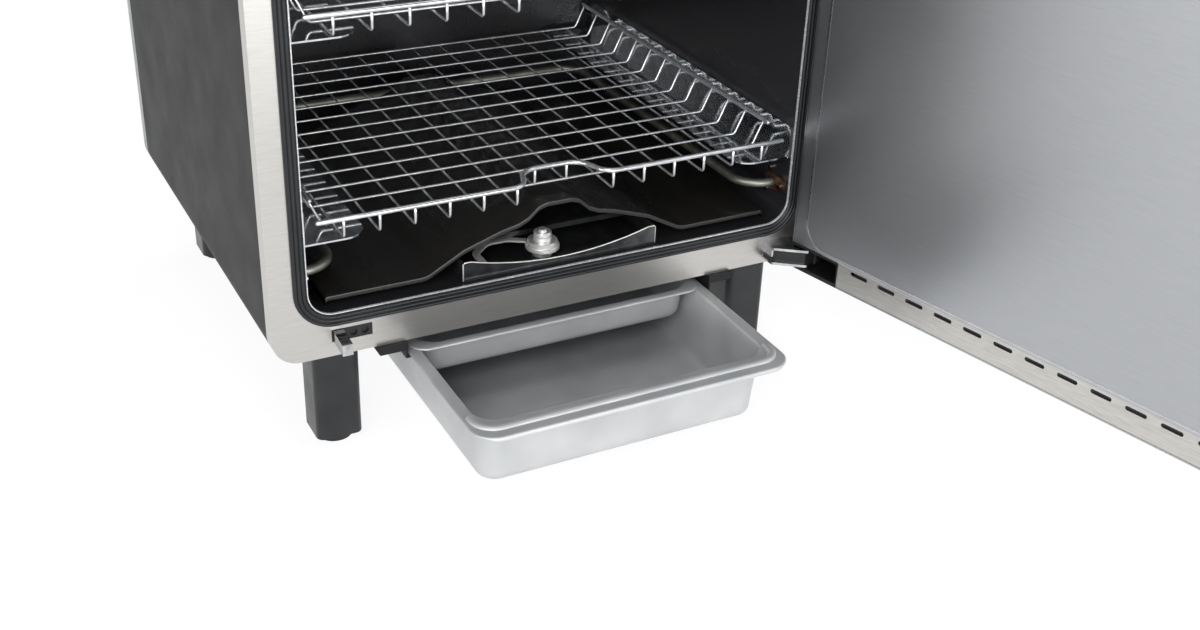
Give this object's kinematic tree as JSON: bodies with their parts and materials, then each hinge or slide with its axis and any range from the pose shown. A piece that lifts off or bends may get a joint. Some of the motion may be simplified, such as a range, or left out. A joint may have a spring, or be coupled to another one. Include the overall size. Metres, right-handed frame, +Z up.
{
  "type": "electric smoker",
  "caption": "Vertical electric smoker on short legs, with an open hinged door, sliding wire racks and a grease drawer.",
  "frame": {"origin": "on the floor, under the middle of the front left foot pad", "axes": "+Z up, -Y out of the door opening, +X towards the hinge side"},
  "size_m": [0.5856, 0.8177, 0.774],
  "materials": {
    "stainless_steel": "brushed",
    "black_case": "satin black paint",
    "galvanised_steel": "matte zinc",
    "black_enamel": "glossy black enamel",
    "seal_rubber": "satin",
    "mineral_wool": "matte fibre",
    "leg_plastic": "satin black",
    "foot_rubber": "matte",
    "drain_steel": "satin",
    "black_steel": "satin black paint",
    "polished_steel": "polished",
    "element_sheath": "dull",
    "flange_copper": "satin copper plate",
    "screw_steel": "bright",
    "baffle_enamel": "glossy black enamel",
    "probe_steel": "satin",
    "hinge_chrome": "bright",
    "hinge_plastic": "matte black",
    "pin_steel": "satin",
    "catch_plastic": "matte black",
    "catch_chrome": "bright",
    "housing_plastic": "fine grain black",
    "red_lens": "glossy",
    "gland_rubber": "matte",
    "vent_steel": "satin",
    "door_steel": "brushed",
    "door_inner_steel": "brushed",
    "strip_steel": "brushed",
    "cap_plastic": "matte black",
    "handle_steel": "brushed",
    "tray_aluminium": "satin",
    "pan_aluminium": "satin",
    "rack_chrome": "bright",
    "chip_box_steel": "polished",
    "knob_steel": "turned, satin",
    "strap_steel": "polished",
    "dial_plastic": "satin",
    "switch_plastic": "glossy"
  },
  "bodies": {
    "cabinet": {"front_frame": "stainless_steel", "outer_shell": "black_case", "back_panel": "galvanised_steel", "base_pan": "galvanised_steel", "inner_liner": "black_enamel", "door_gasket": "seal_rubber", "insulation_wrap": "mineral_wool", "insulation_floor": "mineral_wool", "insulation_back": "mineral_wool", "leg_front_left": "leg_plastic", "leg_front_right": "leg_plastic", "leg_rear_left": "leg_plastic", "leg_rear_right": "leg_plastic", "foot_pads": "foot_rubber", "drain_spout": "drain_steel", "tray_runner_left": "black_steel", "tray_runner_right": "black_steel", "rack_supports_left": "polished_steel", "rack_supports_right": "polished_steel", "heating_element": "element_sheath", "element_flanges": "flange_copper", "chamber_screws": "screw_steel", "heat_baffle": "baffle_enamel", "temperature_probe": "probe_steel", "hinge_bracket_lower": "hinge_chrome", "hinge_bracket_upper": "hinge_chrome", "hinge_core_lower": "hinge_plastic", "hinge_core_upper": "hinge_plastic", "hinge_pin_lower": "pin_steel", "hinge_pin_upper": "pin_steel", "catch_plate": "catch_plastic", "catch_bar": "catch_chrome", "control_housing": "housing_plastic", "indicator_lens": "red_lens", "cord_gland": "gland_rubber", "vent_collar": "vent_steel"},
    "door": {"door_skin": "door_steel", "door_liner": "door_inner_steel", "door_strip_lower": "strip_steel", "door_strip_upper": "strip_steel", "door_cap_lower_hinge": "cap_plastic", "door_cap_lower_latch": "cap_plastic", "door_cap_upper_hinge": "cap_plastic", "door_cap_upper_latch": "cap_plastic", "door_insulation": "mineral_wool", "handle_bar": "handle_steel", "handle_posts": "handle_steel"},
    "drawer": {"grease_tray": "tray_aluminium"},
    "pan": {"inner_pan": "pan_aluminium"},
    "rack_low": {"cooking_rack_1": "rack_chrome"},
    "rack_middle": {"cooking_rack_2": "rack_chrome"},
    "rack_high": {"cooking_rack_3": "rack_chrome"},
    "chip_tray": {"chip_box": "chip_box_steel", "chip_box_lid": "chip_box_steel", "chip_box_knob": "knob_steel", "chip_box_strap": "strap_steel"},
    "dial": {"temperature_dial": "dial_plastic"},
    "switch": {"power_switch": "switch_plastic"},
    "damper": {"vent_damper": "vent_steel"}
  },
  "joints": [
    {"name": "door_hinge", "type": "hinge", "parent": "cabinet", "child": "door", "pos_m": [0.381, -0.0495, 0.402], "axis": [0, 0, 1], "range_deg": [-103.4, 26.6]},
    {"name": "drawer_slide", "type": "slide", "parent": "cabinet", "child": "drawer", "axis": [0, -1, 0], "range_m": [-0.125, 0.09]},
    {"name": "inner_pan_slide", "type": "slide", "parent": "drawer", "child": "pan", "axis": [0, -1, 0], "range_m": [0, 0.08]},
    {"name": "low_rack_slide", "type": "slide", "parent": "cabinet", "child": "rack_low", "axis": [0, -1, 0], "range_m": [0, 0.25]},
    {"name": "middle_rack_slide", "type": "slide", "parent": "cabinet", "child": "rack_middle", "axis": [0, -1, 0], "range_m": [0, 0.25]},
    {"name": "high_rack_slide", "type": "slide", "parent": "cabinet", "child": "rack_high", "axis": [0, -1, 0], "range_m": [0, 0.25]},
    {"name": "chip_box_slide", "type": "slide", "parent": "cabinet", "child": "chip_tray", "axis": [0, -1, 0], "range_m": [0, 0.1]},
    {"name": "dial_turn", "type": "hinge", "parent": "cabinet", "child": "dial", "pos_m": [0.2415, -0.009, 0.746], "axis": [0, -1, 0], "range_deg": [-270, 0]},
    {"name": "switch_rock", "type": "hinge", "parent": "cabinet", "child": "switch", "pos_m": [0.1595, -0.006, 0.746], "axis": [-1, 0, 0], "range_deg": [0, 8]},
    {"name": "damper_turn", "type": "hinge", "parent": "cabinet", "child": "damper", "pos_m": [0.2915, 0.263, 0.744], "axis": [0, 0, 1], "range_deg": [0, 45]}
  ]
}
